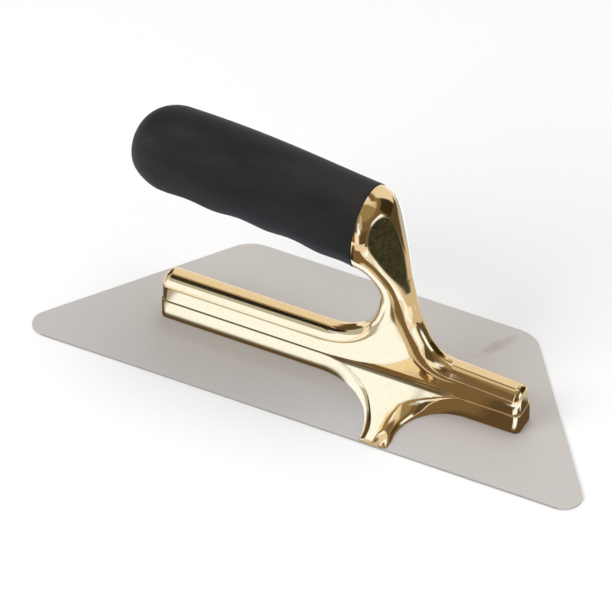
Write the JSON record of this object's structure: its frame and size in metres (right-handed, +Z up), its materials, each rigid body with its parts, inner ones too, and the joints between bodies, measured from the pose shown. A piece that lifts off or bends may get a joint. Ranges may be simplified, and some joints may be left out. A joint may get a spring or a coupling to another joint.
{
  "type": "finishing trowel",
  "caption": "Trapezoid finishing trowel: thin flat blade, polished cast mount with a T-shaped foot and a stem that turns back into a closed rubber grip with finger hollows.",
  "frame": {"origin": "on the blade's underside, at the middle of its bounding rectangle", "axes": "+X along the blade's long edge, away from the grip's butt; -Y towards the long front edge; +Z up from the blade to the grip"},
  "size_m": [0.2264, 0.082, 0.0971],
  "materials": {
    "blade_steel": "satin stainless sheet",
    "gold_plate": "gold-coloured plating on a light alloy casting, mirror polished",
    "grip_rubber": "soft satin black",
    "core_plastic": "plain moulded",
    "tang_steel": "zinc plated",
    "rivet_steel": "ground flush"
  },
  "bodies": {
    "root": {"blade": "blade_steel", "mount_casting": "gold_plate", "rubber_grip": "grip_rubber", "grip_core": "core_plastic", "tang_rod": "tang_steel", "tang_washer": "tang_steel", "tang_nut": "tang_steel", "long_arm_rivets": "rivet_steel", "short_arm_rivets": "rivet_steel", "front_arm_rivet": "rivet_steel"}
  },
  "joints": []
}
